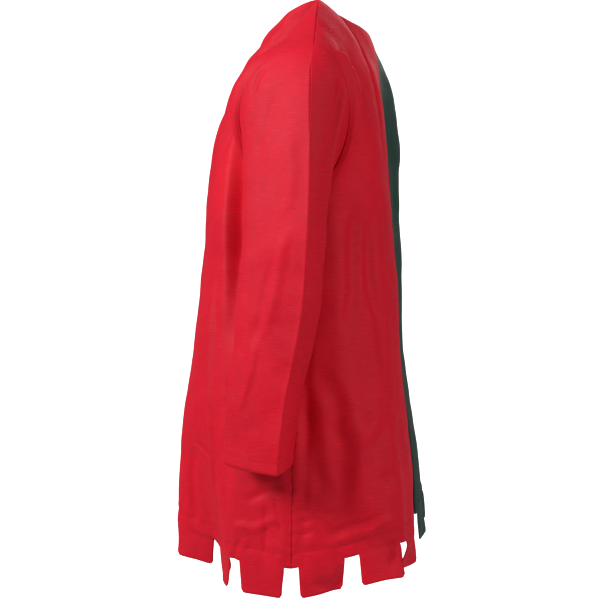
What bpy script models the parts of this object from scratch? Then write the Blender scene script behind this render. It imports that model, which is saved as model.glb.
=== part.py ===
"""Medieval surcoat in two colours, with long sleeves and a hem cut into square tabs.

Metres, +Z up. The garment faces -Y, and the wearer's left arm is at +X.
The origin lies midway between the two neck points, where the shoulders carry the cloth.
Each quarter of the body is one panel, and each sleeve is one tube of cloth.
"""

import math
from collections import namedtuple

import bmesh
import bpy
from mathutils import Vector

# Cloth and seams
WALL = 0.0015
SEAM_GAP = 0.0003

# Fineness: the step for measuring slopes, and the pieces of each drawn curve
STEP = 0.001
CURVE_STEPS = 6
SECTION_STEPS = 48
HEM_STEPS = 240

# Neckline and shoulder seam
NECK_HALF_WIDTH = 0.088
NECK_SHARE = 0.36
SHOULDER_TIP = Vector((0.226, 0.014, -0.096))
SHOULDER_CURVE = 1.35
SHOULDER_RIM = 0.0008

# Armhole and side seam
ARMPIT_HEIGHT = -0.330
SIDE_SEAM_Y = -0.018
ARMHOLE_BLEND = 0.55

# Hem and its tabs
TABS_PER_PANEL = 4
TAB_WIDTH = 0.065
TAB_LENGTH = 0.045
TAB_TAPER = 0.004
NOTCH_WIDTH = 0.020
CELLS_PER_TAB = 3

# Rows of the mesh, as steps of the down value: 0 shoulder, 1 armpit, 2 notch top, 3 tab end
YOKE_ROWS = (0.0, 0.02, 0.08, 0.17, 0.27, 0.38, 0.49, 0.60, 0.70, 0.80, 0.90, 1.0)
SKIRT_ROWS = tuple(1.0 + row / 11 for row in range(1, 12))
TAB_ROWS = (2.5, 3.0)
PANEL_ROWS = YOKE_ROWS + SKIRT_ROWS + TAB_ROWS

# Sleeves
SLEEVE_RING_HEIGHT = -0.400
CUFF_HEIGHT = -0.690
CUFF_DIP = 0.011
SLEEVE_HEAD_ROWS = (0.0, 0.03, 0.10, 0.20, 0.32, 0.45, 0.58, 0.72, 0.86, 1.0)
SLEEVE_ARM_ROWS = tuple(1.0 + row / 7 for row in range(1, 8))
SLEEVE_ROWS = SLEEVE_HEAD_ROWS + SLEEVE_ARM_ROWS
HEAD_REACH = 0.12
HEAD_TURN = (0.0, 0.25)
UNDERARM_REACH = 0.035
UNDERARM_BUTT = (0.30, 0.85)
UNDERARM_GAP = 0.0009
ARMPIT_LIFT = (0.85, 1.0)

# Colours of the cloth
RED = (0.62, 0.035, 0.050, 1.0)
GREEN = (0.030, 0.082, 0.062, 1.0)
CLOTH_ROUGHNESS = 0.85

# Sizes of the body at each height, measured from the side seam's line and from the middle
Level = namedtuple("Level", "height half_width front_y back_y front_square back_square")
LEVELS = (
    Level(-0.330, 0.187, -0.191, 0.113, 2.3, 2.6),
    Level(-0.465, 0.192, -0.204, 0.121, 2.4, 2.8),
    Level(-0.556, 0.200, -0.213, 0.124, 2.5, 3.0),
    Level(-0.649, 0.208, -0.221, 0.129, 2.7, 3.2),
    Level(-0.740, 0.216, -0.226, 0.137, 2.9, 3.4),
    Level(-0.893, 0.222, -0.228, 0.148, 3.0, 3.5),
)

# Line of the notch tops, from the centre seams, 0, to the side seams, 1
HemLine = namedtuple("HemLine", "across front_z back_z")
HEM_LINE = (
    HemLine(0.00, -0.815, -0.818),
    HemLine(0.30, -0.826, -0.819),
    HemLine(0.60, -0.840, -0.816),
    HemLine(0.80, -0.843, -0.832),
    HemLine(1.00, -0.847, -0.847),
)

# Where the hem's folds turn, seen from above, from the centre seam to the side seam
Turn = namedtuple("Turn", "x y")
HEM_TURNS = {
    "front_left": (
        Turn(0.000, -0.226),
        Turn(0.092, -0.227),
        Turn(0.118, -0.180),
        Turn(0.134, -0.148),
        Turn(0.198, -0.120),
        Turn(0.219, -0.085),
        Turn(0.222, -0.018),
    ),
    "back_left": (
        Turn(0.000, 0.137),
        Turn(0.080, 0.146),
        Turn(0.155, 0.146),
        Turn(0.187, 0.134),
        Turn(0.213, 0.092),
        Turn(0.222, 0.045),
        Turn(0.222, -0.018),
    ),
    "front_right": (
        Turn(0.000, -0.226),
        Turn(0.078, -0.230),
        Turn(0.112, -0.204),
        Turn(0.142, -0.166),
        Turn(0.196, -0.136),
        Turn(0.217, -0.092),
        Turn(0.222, -0.018),
    ),
    "back_right": (
        Turn(0.000, 0.143),
        Turn(0.074, 0.154),
        Turn(0.122, 0.141),
        Turn(0.176, 0.143),
        Turn(0.208, 0.098),
        Turn(0.221, 0.045),
        Turn(0.222, -0.018),
    ),
}
HEM_FOLDS_START = 1.40
HEM_FOLDS_FULL = 2.15

# A pull is how far the cloth runs on in a direction before it bends: (along Y, along Z)
Panel = namedtuple(
    "Panel",
    "facing neck_y neck_z neck_curve centre_pull neck_pull tip_pull armpit_pull chest_pull",
)
PANELS = {
    "front": Panel(-1, -0.107, -0.054, 1.6, (-0.10, -0.18), (-0.07, -0.06), (-0.36, -0.02), 0.42, 0.32),
    "back": Panel(1, 0.068, -0.041, 0.65, (0.09, -0.20), (0.32, -0.22), (0.16, -0.02), -0.36, 0.25),
}

# Folds of each panel. Across runs from the centre seam, 0, to the side seam or armhole, 1.
# A fold starts at one down value, is full at the next two, and has faded at the last.
Fold = namedtuple("Fold", "name across_top across_end start full fade end half_width height")
FOLDS = {
    "front_left": (
        Fold("chest_ridge", 0.10, 0.10, 0.25, 0.60, 0.60, 1.15, 0.50, 0.015),
        Fold("armhole_ridge", 0.90, 0.90, 0.15, 0.40, 0.52, 0.90, 0.10, 0.012),
    ),
    "back_left": (
        Fold("armhole_ridge", 0.90, 0.90, 0.10, 0.35, 0.50, 0.86, 0.10, 0.012),
        Fold("centre_valley", 0.0, 0.0, 0.10, 0.50, 1.20, 2.00, 0.22, -0.009),
        Fold("side_trough", 0.66, 0.62, 0.85, 1.15, 1.45, 1.80, 0.18, -0.008),
        Fold("seam_trough", 0.90, 0.78, 1.40, 1.60, 1.75, 2.00, 0.09, -0.007),
    ),
    "front_right": (
        Fold("chest_ridge", 0.10, 0.10, 0.25, 0.60, 0.60, 1.15, 0.50, 0.015),
        Fold("armhole_ridge", 0.90, 0.90, 0.15, 0.40, 0.52, 0.90, 0.10, 0.011),
    ),
    "back_right": (
        Fold("armhole_ridge", 0.90, 0.90, 0.10, 0.35, 0.50, 0.86, 0.10, 0.011),
        Fold("centre_valley", 0.0, 0.0, 0.10, 0.50, 1.20, 2.00, 0.22, -0.009),
        Fold("side_trough", 0.70, 0.64, 0.95, 1.30, 1.70, 2.10, 0.17, -0.009),
    ),
}

# Sleeve rings: the middle of the tube and its half sizes, outward and front to back
Ring = namedtuple("Ring", "height centre_x centre_y half_out half_deep")
SLEEVE_RINGS = (
    Ring(-0.400, 0.249, -0.028, 0.045, 0.059),
    Ring(-0.470, 0.251, -0.034, 0.043, 0.060),
    Ring(-0.530, 0.252, -0.042, 0.041, 0.057),
    Ring(-0.600, 0.253, -0.054, 0.038, 0.053),
    Ring(-0.701, 0.255, -0.064, 0.034, 0.050),
)

# One ring's outline, in half sizes, from the pressed crease round the front to the crease again
Outline = namedtuple("Outline", "outward backward")
SLEEVE_OUTLINE = (
    Outline(1.06, 0.72),
    Outline(0.68, -0.26),
    Outline(0.12, -0.96),
    Outline(-0.66, -0.80),
    Outline(-0.98, -0.05),
    Outline(-0.80, 0.70),
    Outline(-0.10, 1.00),
    Outline(0.62, 0.92),
    Outline(1.06, 0.72),
)


def smooth(low, high, value):
    """Rise softly from 0 at low to 1 at high."""
    share = min(max((value - low) / (high - low), 0.0), 1.0)
    return share * share * (3 - 2 * share)


def hermite(start, start_pull, end, end_pull, share):
    """Point on the soft curve that leaves start and reaches end along their pulls."""
    square = share * share
    cube = square * share
    point = start * (2 * cube - 3 * square + 1) + start_pull * (cube - 2 * square + share)
    return point + end * (3 * square - 2 * cube) + end_pull * (cube - square)


def table_value(rows, where, column):
    """Read a column of a table between its rows, on a curve through them. Rows are placed by column 0."""
    places = [row[0] for row in rows]
    values = [getattr(row, column) for row in rows]
    order = 1 if places[-1] > places[0] else -1
    place = 0
    while place < len(rows) - 2 and (where - places[place + 1]) * order > 0:
        place += 1
    before = max(place - 1, 0)
    after = min(place + 2, len(rows) - 1)
    span = places[place + 1] - places[place]
    share = min(max((where - places[place]) / span, 0.0), 1.0)
    leave = (values[place + 1] - values[before]) / (places[place + 1] - places[before])
    reach = (values[after] - values[place]) / (places[after] - places[place])
    return hermite(values[place], leave * span, values[place + 1], reach * span, share)


def curve_through(knots, steps):
    """Points of a soft curve through knots."""
    points = [knots[0]]
    last = len(knots) - 1
    for index in range(last):
        leave = (knots[index + 1] - knots[max(index - 1, 0)]) / 2
        arrive = (knots[min(index + 2, last)] - knots[index]) / 2
        for step in range(1, steps + 1):
            points.append(hermite(knots[index], leave, knots[index + 1], arrive, step / steps))
    return points


def point_along(points, share):
    """Point at a share of the length of a line through points."""
    lengths = [(b - a).length for a, b in zip(points, points[1:])]
    left = share * sum(lengths)
    for start, end, length in zip(points, points[1:], lengths):
        if left <= length:
            return start.lerp(end, left / length)
        left -= length
    return points[-1].copy()


def section_point(name, across, height):
    """Point of the unfolded body at a height, a share of the way from centre seam to side seam."""
    half_width = table_value(LEVELS, height, "half_width")
    depth = table_value(LEVELS, height, name + "_y") - SIDE_SEAM_Y
    power = 2 / table_value(LEVELS, height, name + "_square")
    points = []
    for step in range(SECTION_STEPS + 1):
        angle = math.radians(90) * step / SECTION_STEPS
        x = half_width * math.sin(angle) ** power
        y = SIDE_SEAM_Y + depth * max(math.cos(angle), 0.0) ** power
        points.append(Vector((x, y, height)))
    return point_along(points, across)


def top_edge(name, across):
    """Point on the neckline or, past the neck point, on the shoulder seam."""
    panel = PANELS[name]
    if across < NECK_SHARE:
        angle = math.radians(90) * across / NECK_SHARE
        fall = math.cos(angle) ** panel.neck_curve
        return Vector((NECK_HALF_WIDTH * math.sin(angle), panel.neck_y * math.cos(angle), panel.neck_z * fall))
    share = (across - NECK_SHARE) / (1 - NECK_SHARE)
    x = NECK_HALF_WIDTH + (SHOULDER_TIP.x - NECK_HALF_WIDTH) * share
    return Vector((x, SHOULDER_TIP.y * share, SHOULDER_TIP.z * share ** SHOULDER_CURVE))


def top_pull(name, across):
    """Direction and strength in which the cloth leaves the top edge."""
    panel = PANELS[name]
    centre = Vector((0.0, *panel.centre_pull))
    neck = Vector((0.0, *panel.neck_pull))
    tip = Vector((0.0, *panel.tip_pull))
    if across < NECK_SHARE:
        return centre.lerp(neck, smooth(0, NECK_SHARE, across))
    return neck.lerp(tip, smooth(NECK_SHARE, 1, across))


def body_form(side, name, across, down):
    """Body surface of one quarter, drawn at +X, before its smaller folds."""
    if down >= 1:
        hem = table_value(HEM_LINE, across, name + "_z")
        height = ARMPIT_HEIGHT + (hem - ARMPIT_HEIGHT) * min(down - 1, 1)
        height -= TAB_LENGTH * max(down - 2, 0)
        form = section_point(name, across, height)
        turn = point_along(hem_curves[name + "_" + side], across)
        turn.z = height
        return form.lerp(turn, smooth(HEM_FOLDS_START, HEM_FOLDS_FULL, down))
    panel = PANELS[name]
    chest = section_point(name, across, ARMPIT_HEIGHT)
    below = section_point(name, across, ARMPIT_HEIGHT - STEP)
    chest_pull = (below - chest) * (panel.chest_pull / STEP)
    chest_pull.y += panel.armpit_pull * smooth(ARMHOLE_BLEND, 1.0, across) ** 2
    return hermite(top_edge(name, across), top_pull(name, across), chest, chest_pull, down)


def body_normal(side, name, across, down):
    """Outward direction of the body surface before its smaller folds."""
    low = max(across - STEP, 0.0)
    high = min(across + STEP, 1.0)
    upper = max(down - STEP, 0.0)
    lower = down + STEP
    sideways = body_form(side, name, high, down) - body_form(side, name, low, down)
    downward = body_form(side, name, across, lower) - body_form(side, name, across, upper)
    normal = sideways.cross(downward) * PANELS[name].facing
    return normal.normalized()


def fold_height(folds, across, down):
    """How far the folds of a panel lift its cloth at a place."""
    height = 0.0
    for fold in folds:
        middle = fold.across_top + (fold.across_end - fold.across_top) * smooth(fold.start, fold.full, down)
        distance = abs(across - middle) / fold.half_width
        if distance < 1:
            rise = smooth(fold.start, fold.full, down) * (1 - smooth(fold.fade, fold.end, down))
            height += fold.height * rise * (0.5 + 0.5 * math.cos(math.pi * distance))
    return height


def body_point(side, name, across, down):
    """Point of the finished cloth of a quarter of the body, before it is turned to its side."""
    point = body_form(side, name, across, down)
    height = fold_height(FOLDS[name + "_" + side], across, down)
    if height:
        point += body_normal(side, name, across, down) * height
    return point


def hem_columns(side, name):
    """Across values of the mesh columns, so that tabs and notches are even along the folded hem."""
    shares = [step / HEM_STEPS for step in range(HEM_STEPS + 1)]
    points = [body_point(side, name, share, 2.0) for share in shares]
    reached = [0.0]
    for start, end in zip(points, points[1:]):
        reached.append(reached[-1] + (end - start).length)
    widths = [NOTCH_WIDTH / 2]
    for tab in range(TABS_PER_PANEL):
        widths += [TAB_WIDTH / CELLS_PER_TAB] * CELLS_PER_TAB
        widths.append(NOTCH_WIDTH if tab < TABS_PER_PANEL - 1 else NOTCH_WIDTH / 2)
    scale = reached[-1] / sum(widths)
    columns = [0.0]
    wanted = 0.0
    for width in widths[:-1]:
        wanted += width * scale
        place = next(index for index, length in enumerate(reached) if length > wanted)
        part = (wanted - reached[place - 1]) / (reached[place] - reached[place - 1])
        columns.append((place - 1 + part) / HEM_STEPS)
    return columns + [1.0], reached[-1]


def tab_shift(column, down):
    """The tabs narrow towards their ends: +1 moves a column outward, -1 back to the centre seam."""
    if down <= 2:
        return 0.0
    place = (column - 1) % (CELLS_PER_TAB + 1)
    if place == 0:
        return TAB_TAPER * (down - 2)
    if place == CELLS_PER_TAB:
        return -TAB_TAPER * (down - 2)
    return 0.0


def finish_cloth(name, mesh_data, colour):
    """Make the node's object: an open sheet with the thickness of the cloth."""
    mesh = bpy.data.meshes.new(name)
    mesh_data.to_mesh(mesh)
    mesh_data.free()
    mesh.shade_smooth()
    mesh.set_sharp_from_angle(angle=math.radians(40))
    material = bpy.data.materials.new(name)
    material.use_nodes = True
    shader = material.node_tree.nodes["Principled BSDF"]
    shader.inputs["Base Color"].default_value = colour
    shader.inputs["Roughness"].default_value = CLOTH_ROUGHNESS
    shader.inputs["Metallic"].default_value = 0.0
    mesh.materials.append(material)
    cloth = bpy.data.objects.new(name, mesh)
    collection.objects.link(cloth)
    wall = cloth.modifiers.new("cloth thickness", "SOLIDIFY")
    wall.thickness = WALL
    wall.offset = 0.0
    wall.use_even_offset = True
    wall.use_quality_normals = True
    return cloth


def new_grid(columns, rows):
    """Flat grid of cells, and each of its points with its column and row."""
    grid = bmesh.new()
    bmesh.ops.create_grid(grid, x_segments=columns, y_segments=rows, size=1)
    places = {}
    for point in grid.verts:
        column = round((point.co.x + 1) / 2 * columns)
        row = round((1 - point.co.y) / 2 * rows)
        places[point] = (column, row)
    return grid, places


def make_panel(side, name, colour):
    """A quarter of the body, from its neckline and shoulder seam to its tabs."""
    sign = 1 if side == "left" else -1
    columns, hem_length = hem_columns(side, name)
    edge = SEAM_GAP / 2 / hem_length
    columns[0] += edge
    columns[-1] -= edge
    grid, places = new_grid(len(columns) - 1, len(PANEL_ROWS) - 1)
    gaps = [face for face in grid.faces if is_notch(face, places)]
    for point, (column, row) in places.items():
        down = max(PANEL_ROWS[row], SHOULDER_RIM / top_pull(name, columns[column]).length)
        across = columns[column] + tab_shift(column, down) / hem_length
        place = body_point(side, name, across, down)
        if column == 0:
            place.x = SEAM_GAP / 2
        point.co = Vector((place.x * sign, place.y, place.z))
    bmesh.ops.delete(grid, geom=gaps, context="FACES")
    return finish_cloth(name + "_" + side, grid, colour)


def is_notch(face, places):
    """Cells between two tabs, below the notch tops, are cut away."""
    column = min(places[point][0] for point in face.verts)
    row = min(places[point][1] for point in face.verts)
    return PANEL_ROWS[row] >= 2 and column % (CELLS_PER_TAB + 1) == 0


def ring_point(share, height):
    """Point of the sleeve's ring at a height, a share of the way round from the crease."""
    form = point_along(sleeve_outline, share)
    x = table_value(SLEEVE_RINGS, height, "centre_x") + form.x * table_value(SLEEVE_RINGS, height, "half_out")
    y = table_value(SLEEVE_RINGS, height, "centre_y") + form.y * table_value(SLEEVE_RINGS, height, "half_deep")
    return Vector((x, y, height)), form.x


def armhole_edge(side, name, down):
    """Point of the armhole and the direction in which the sleeve's cloth leaves it."""
    point = body_point(side, name, 1.0, down)
    upper = body_point(side, name, 1.0, max(down - STEP, 0.0))
    lower = body_point(side, name, 1.0, min(down + STEP, 1.0))
    inner = body_point(side, name, 1.0 - 5 * STEP, down)
    run = (lower - upper).normalized()
    outward = point - inner
    outward -= run * outward.dot(run)
    upward = Vector((0.0, 0.0, 1.0))
    return point, outward.normalized().lerp(upward, smooth(*ARMPIT_LIFT, down)).normalized()


def sleeve_point(side, name, down, along):
    """Point of a sleeve on the line that starts at one place of the armhole."""
    share = down / 2 if name == "front" else 1 - down / 2
    if along > 1:
        crease_side = ring_point(share, SLEEVE_RING_HEIGHT)[1]
        cuff = CUFF_HEIGHT - CUFF_DIP * max(crease_side, 0.0)
        height = SLEEVE_RING_HEIGHT + (cuff - SLEEVE_RING_HEIGHT) * (along - 1)
        return ring_point(share, height)[0]
    start, outward = armhole_edge(side, name, down)
    tip_outward = armhole_edge(side, name, 0.0)[1]
    outward = tip_outward.lerp(outward, smooth(*HEAD_TURN, down)).normalized()
    butt = smooth(*UNDERARM_BUTT, down)
    start += outward * (SEAM_GAP + UNDERARM_GAP * butt)
    end = ring_point(share, SLEEVE_RING_HEIGHT)[0]
    below = ring_point(share, SLEEVE_RING_HEIGHT - STEP)[0]
    end_pull = (below - end).normalized() * (end - start).length
    leave = outward.lerp(Vector((1.0, 0.0, 0.0)), butt).normalized()
    start_pull = leave * (UNDERARM_REACH + HEAD_REACH * (1 - down) ** 3)
    return hermite(start, start_pull, end, end_pull, along)


def make_sleeve(side, colour):
    """A sleeve: a sheet rolled into a tube and closed along its outer crease's line."""
    sign = 1 if side == "left" else -1
    front = [("front", down) for down in YOKE_ROWS]
    back = [("back", down) for down in reversed(YOKE_ROWS[:-1])]
    around = front + back
    grid, places = new_grid(len(around) - 1, len(SLEEVE_ROWS) - 1)
    for point, (column, row) in places.items():
        name, down = around[column]
        place = sleeve_point(side, name, down, SLEEVE_ROWS[row])
        if column == len(around) - 1:
            place = sleeve_point(side, *around[0], SLEEVE_ROWS[row])
        point.co = Vector((place.x * sign, place.y, place.z))
    bmesh.ops.remove_doubles(grid, verts=grid.verts[:], dist=0.00001)
    return finish_cloth("sleeve_" + side, grid, colour)


for old in list(bpy.data.objects):
    bpy.data.objects.remove(old, do_unlink=True)

hem_curves = {}
for panel_name, turns in HEM_TURNS.items():
    hem_curves[panel_name] = curve_through([Vector((turn.x, turn.y, 0.0)) for turn in turns], CURVE_STEPS)
sleeve_outline = curve_through([Vector((row.outward, row.backward, 0.0)) for row in SLEEVE_OUTLINE], CURVE_STEPS)

collection = bpy.data.collections.new("medieval surcoat")
bpy.context.scene.collection.children.link(collection)

for half, cloth_colour in (("left", RED), ("right", GREEN)):
    make_panel(half, "front", cloth_colour)
    make_panel(half, "back", cloth_colour)
    make_sleeve(half, cloth_colour)
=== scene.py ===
"""Looks of the medieval surcoat: red and green cloth, long sleeves, a hem cut into square tabs.

Metres, +Z up. The garment faces -Y, and the wearer's left arm is at +X.
"""

import math
from collections import namedtuple

import bmesh
import bpy
import numpy as np
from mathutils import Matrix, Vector, noise


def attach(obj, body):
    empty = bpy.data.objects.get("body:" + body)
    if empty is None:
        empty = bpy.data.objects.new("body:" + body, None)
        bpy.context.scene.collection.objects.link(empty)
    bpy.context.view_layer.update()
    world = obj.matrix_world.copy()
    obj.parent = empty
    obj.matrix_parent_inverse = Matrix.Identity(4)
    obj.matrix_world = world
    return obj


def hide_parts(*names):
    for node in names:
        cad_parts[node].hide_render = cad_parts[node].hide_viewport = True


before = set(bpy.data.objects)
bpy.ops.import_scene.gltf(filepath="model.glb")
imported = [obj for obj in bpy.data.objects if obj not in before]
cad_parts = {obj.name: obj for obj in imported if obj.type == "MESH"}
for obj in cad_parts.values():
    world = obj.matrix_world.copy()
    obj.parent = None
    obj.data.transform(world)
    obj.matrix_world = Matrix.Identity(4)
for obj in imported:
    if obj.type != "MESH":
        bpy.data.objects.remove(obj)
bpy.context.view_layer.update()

# The four quarters of the body: plain-woven cotton, each cut from shoulder to hem in one piece.
# They are sewn together at the shoulders, the sides and the middle of the front and back,
# with the neck turned in, and the tabs of the hem lined with a stitched facing.

# Sizes that the solids have too
WALL = 0.0015
SEAM_GAP = 0.0003
NECK_HALF_WIDTH = 0.088
NECK_SHARE = 0.36
SHOULDER_TIP = (0.226, 0.014, -0.096)
SHOULDER_CURVE = 1.35
SHOULDER_RIM = 0.0008
ARMPIT_HEIGHT = -0.330
SIDE_SEAM_Y = -0.018
ARMHOLE_BLEND = 0.55
TABS_PER_PANEL = 4
TAB_WIDTH = 0.065
TAB_LENGTH = 0.045
TAB_TAPER = 0.004
TAB_CORNER = 0.005
NOTCH_WIDTH = 0.020
HEM_FOLDS_START = 1.40
HEM_FOLDS_FULL = 2.15

# Sewing: the cloth turned in at each edge, the play of a closed seam, how far the side seam wanders
# and stands out, the height of the facing's stitch line above the notches, and the skirt's rough drop
TURNING = 0.003
CLOSED_GAP = 0.00001
SEAM_FACE = WALL / 2 + CLOSED_GAP
SEAM_WANDER = 0.0028
SEAM_RIDGE = 0.007
FACING_ABOVE_NOTCH = 0.020
SKIRT_DROP = 0.5

# Fineness: the step for measuring slopes, and the pieces of each drawn curve
STEP = 0.001
CURVE_STEPS = 6
CREASE_STEPS = 48
SECTION_STEPS = 48
HEM_STEPS = 240
SAME_PLACE = 0.00001

# Half sections of the body from the armpit down: powers of 2 are ellipses, and higher ones squarer
Level = namedtuple("Level", "height half_width front_y back_y front_square back_square")
LEVELS = (
    Level(-0.330, 0.187, -0.191, 0.113, 2.3, 2.6),
    Level(-0.465, 0.192, -0.204, 0.121, 2.4, 2.8),
    Level(-0.556, 0.200, -0.213, 0.124, 2.5, 3.0),
    Level(-0.649, 0.208, -0.221, 0.129, 2.7, 3.2),
    Level(-0.740, 0.216, -0.226, 0.137, 2.9, 3.4),
    Level(-0.893, 0.222, -0.228, 0.148, 3.0, 3.5),
)

# Tops of the notches, from the centre seam, 0, to the side seam, 1
HemLine = namedtuple("HemLine", "across front_z back_z")
HEM_LINE = (
    HemLine(0.00, -0.815, -0.818),
    HemLine(0.30, -0.826, -0.819),
    HemLine(0.60, -0.840, -0.816),
    HemLine(0.80, -0.843, -0.832),
    HemLine(1.00, -0.847, -0.847),
)

# Path of each quarter's hem from the centre seam to the side seam, seen from above: (x, y)
HEM_TURNS = {
    "front_left": (
        (0.000, -0.226),
        (0.092, -0.227),
        (0.118, -0.180),
        (0.134, -0.148),
        (0.198, -0.120),
        (0.219, -0.085),
        (0.222, -0.018),
    ),
    "back_left": (
        (0.000, 0.137),
        (0.080, 0.146),
        (0.155, 0.146),
        (0.187, 0.134),
        (0.213, 0.092),
        (0.222, 0.045),
        (0.222, -0.018),
    ),
    "front_right": (
        (0.000, -0.226),
        (0.078, -0.230),
        (0.112, -0.204),
        (0.142, -0.166),
        (0.196, -0.136),
        (0.217, -0.092),
        (0.222, -0.018),
    ),
    "back_right": (
        (0.000, 0.143),
        (0.074, 0.154),
        (0.122, 0.141),
        (0.176, 0.143),
        (0.208, 0.098),
        (0.221, 0.045),
        (0.222, -0.018),
    ),
}

# Necklines, and how the cloth leaves the neck and the shoulder seam and reaches the chest
Panel = namedtuple(
    "Panel",
    "facing neck_y neck_z neck_curve centre_pull neck_pull tip_pull armpit_pull chest_pull",
)
PANELS = {
    "front": Panel(-1, -0.107, -0.054, 1.6, (-0.10, -0.18), (-0.07, -0.06), (-0.36, -0.02), 0.42, 0.32),
    "back": Panel(1, 0.068, -0.041, 0.65, (0.09, -0.20), (0.32, -0.22), (0.16, -0.02), -0.36, 0.25),
}

# Large folds, as the solids have them. Across runs from the centre seam, 0, to the side seam or armhole,
# 1. A fold starts at one down value, is full at the next two, and has faded at the last.
Fold = namedtuple("Fold", "name across_top across_end start full fade end half_width height")
FOLDS = {
    "front_left": (
        Fold("chest_ridge", 0.10, 0.10, 0.25, 0.60, 0.60, 1.15, 0.50, 0.015),
        Fold("armhole_ridge", 0.90, 0.90, 0.15, 0.40, 0.52, 0.90, 0.10, 0.012),
    ),
    "back_left": (
        Fold("armhole_ridge", 0.90, 0.90, 0.10, 0.35, 0.50, 0.86, 0.10, 0.012),
        Fold("centre_valley", 0.0, 0.0, 0.10, 0.50, 1.20, 2.00, 0.22, -0.009),
        Fold("side_trough", 0.66, 0.62, 0.85, 1.15, 1.45, 1.80, 0.18, -0.008),
        Fold("seam_trough", 0.90, 0.78, 1.40, 1.60, 1.75, 2.00, 0.09, -0.007),
    ),
    "front_right": (
        Fold("chest_ridge", 0.10, 0.10, 0.25, 0.60, 0.60, 1.15, 0.50, 0.015),
        Fold("armhole_ridge", 0.90, 0.90, 0.15, 0.40, 0.52, 0.90, 0.10, 0.011),
    ),
    "back_right": (
        Fold("armhole_ridge", 0.90, 0.90, 0.10, 0.35, 0.50, 0.86, 0.10, 0.011),
        Fold("centre_valley", 0.0, 0.0, 0.10, 0.50, 1.20, 2.00, 0.22, -0.009),
        Fold("side_trough", 0.70, 0.64, 0.95, 1.30, 1.70, 2.10, 0.17, -0.009),
    ),
}

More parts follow.
